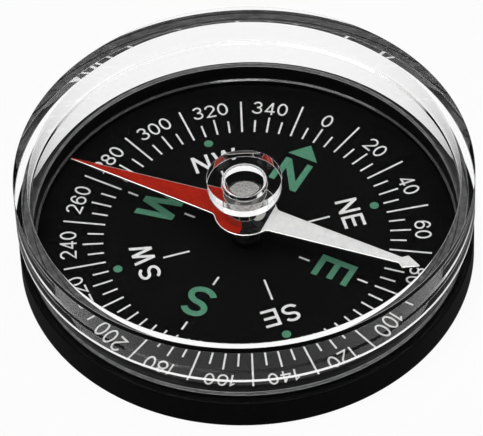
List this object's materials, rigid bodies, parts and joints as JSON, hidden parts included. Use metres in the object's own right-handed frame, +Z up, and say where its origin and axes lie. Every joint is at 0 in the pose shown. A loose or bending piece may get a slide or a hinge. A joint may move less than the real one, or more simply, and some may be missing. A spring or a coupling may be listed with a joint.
{
  "type": "magnetic compass",
  "caption": "Round pocket compass: black moulded cup with a printed dial, a free-turning red and white needle on a steel point, under a clear lid.",
  "frame": {"origin": "centre of the underside, in the plane that the compass stands on", "axes": "+Z up along the needle's pivot, +Y towards north on the dial, +X towards east on the dial"},
  "size_m": [0.045, 0.045, 0.0116],
  "materials": {
    "case_black": "satin moulded black plastic",
    "dial_print": "matt black card with white and green print",
    "pin_steel": "bright ground steel",
    "needle_paint": "semi-gloss paint, one arm red and one white, bare steel at the cut edges",
    "cap_metal": "polished nickel-plated brass, with a finely turned top",
    "lid_clear": "polished clear moulded plastic"
  },
  "bodies": {
    "case": {"base_case": "case_black", "dial_card": "dial_print", "pivot_pin": "pin_steel", "clear_lid": "lid_clear"},
    "needle": {"compass_needle": "needle_paint", "bearing_cap": "cap_metal"}
  },
  "joints": [
    {"name": "needle_spin", "type": "hinge", "parent": "case", "child": "needle", "pos_m": [0, 0, 0.00665], "axis": [0, 0, 1], "continuous": true}
  ]
}
